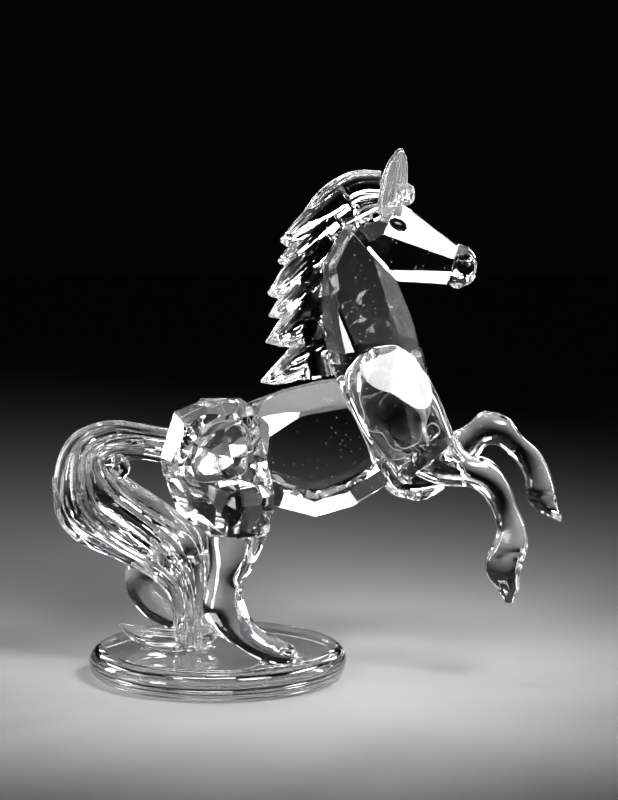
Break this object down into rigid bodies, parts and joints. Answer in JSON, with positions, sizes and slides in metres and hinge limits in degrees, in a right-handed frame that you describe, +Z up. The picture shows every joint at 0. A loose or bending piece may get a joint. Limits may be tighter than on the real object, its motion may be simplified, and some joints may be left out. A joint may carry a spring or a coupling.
{
  "type": "crystal glass figurine",
  "caption": "Rearing horse figurine assembled from cut and moulded clear crystal glass pieces on a round glass base.",
  "frame": {"origin": "centre of the base disc's flat underside", "axes": "+Z up, the horse faces +X, its near side is -Y and its far side is +Y"},
  "size_m": [0.1184, 0.06, 0.122],
  "materials": {
    "cut_crystal": "ground facets, polished clear",
    "moulded_crystal": "moulded, fire polished",
    "black_glass": "polished black",
    "clear_adhesive": "clear cured adhesive film"
  },
  "bodies": {
    "root": {"base": "cut_crystal", "barrel": "cut_crystal", "neck": "cut_crystal", "head": "cut_crystal", "near_haunch": "cut_crystal", "far_haunch": "cut_crystal", "near_shoulder": "cut_crystal", "far_shoulder": "cut_crystal", "near_hind_leg": "moulded_crystal", "far_hind_leg": "moulded_crystal", "near_foreleg": "moulded_crystal", "far_foreleg": "moulded_crystal", "tail": "moulded_crystal", "mane": "moulded_crystal", "near_ear": "moulded_crystal", "far_ear": "moulded_crystal", "forelock": "moulded_crystal", "muzzle": "moulded_crystal", "near_eye": "black_glass", "far_eye": "black_glass", "near_haunch_film": "clear_adhesive", "far_haunch_film": "clear_adhesive", "near_shoulder_film": "clear_adhesive", "far_shoulder_film": "clear_adhesive", "near_hind_film": "clear_adhesive", "far_hind_film": "clear_adhesive", "near_fore_film": "clear_adhesive", "far_fore_film": "clear_adhesive", "neck_film": "clear_adhesive", "head_film": "clear_adhesive", "muzzle_film": "clear_adhesive", "tail_film": "clear_adhesive", "near_hoof_bead": "clear_adhesive", "far_hoof_bead": "clear_adhesive", "tail_foot_bead": "clear_adhesive"}
  },
  "joints": []
}
